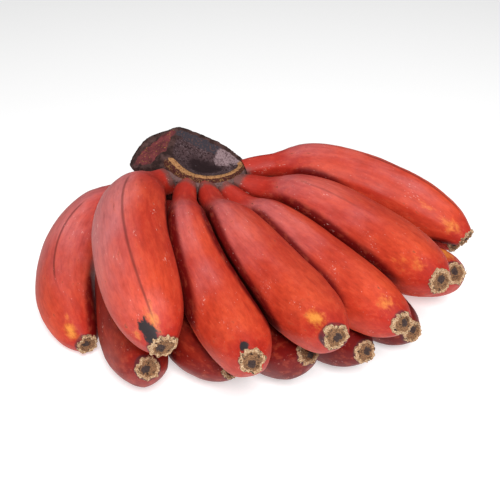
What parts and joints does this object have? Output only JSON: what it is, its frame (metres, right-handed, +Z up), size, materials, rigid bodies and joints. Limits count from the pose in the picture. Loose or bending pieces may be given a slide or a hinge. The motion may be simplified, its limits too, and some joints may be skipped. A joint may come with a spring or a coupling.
{
  "type": "hand of red bananas",
  "caption": "Hand of red bananas: plump curved fruit with blunt corky ends, an upper row over a lower one, grown from a cut and dried crown and lying on the lower row.",
  "frame": {"origin": "middle of the bounding box in plan, on the surface that the hand rests on", "axes": "+Z up; -Y the way the finger tips point; +X to the right as seen from the tips"},
  "size_m": [0.2875, 0.2206, 0.1],
  "materials": {
    "red_peel": "smooth waxy red peel with a faint bloom",
    "dried_crown": "dry, matt, fibrous dark brown"
  },
  "bodies": {
    "root": {"crown": "dried_crown", "upper_finger_1": "red_peel", "upper_finger_2": "red_peel", "upper_finger_3": "red_peel", "upper_finger_4": "red_peel", "upper_finger_5": "red_peel", "upper_finger_6": "red_peel", "upper_finger_7": "red_peel", "lower_finger_1": "red_peel", "lower_finger_2": "red_peel", "lower_finger_3": "red_peel", "lower_finger_4": "red_peel", "lower_finger_5": "red_peel", "lower_finger_6": "red_peel", "lower_finger_7": "red_peel"}
  },
  "joints": []
}
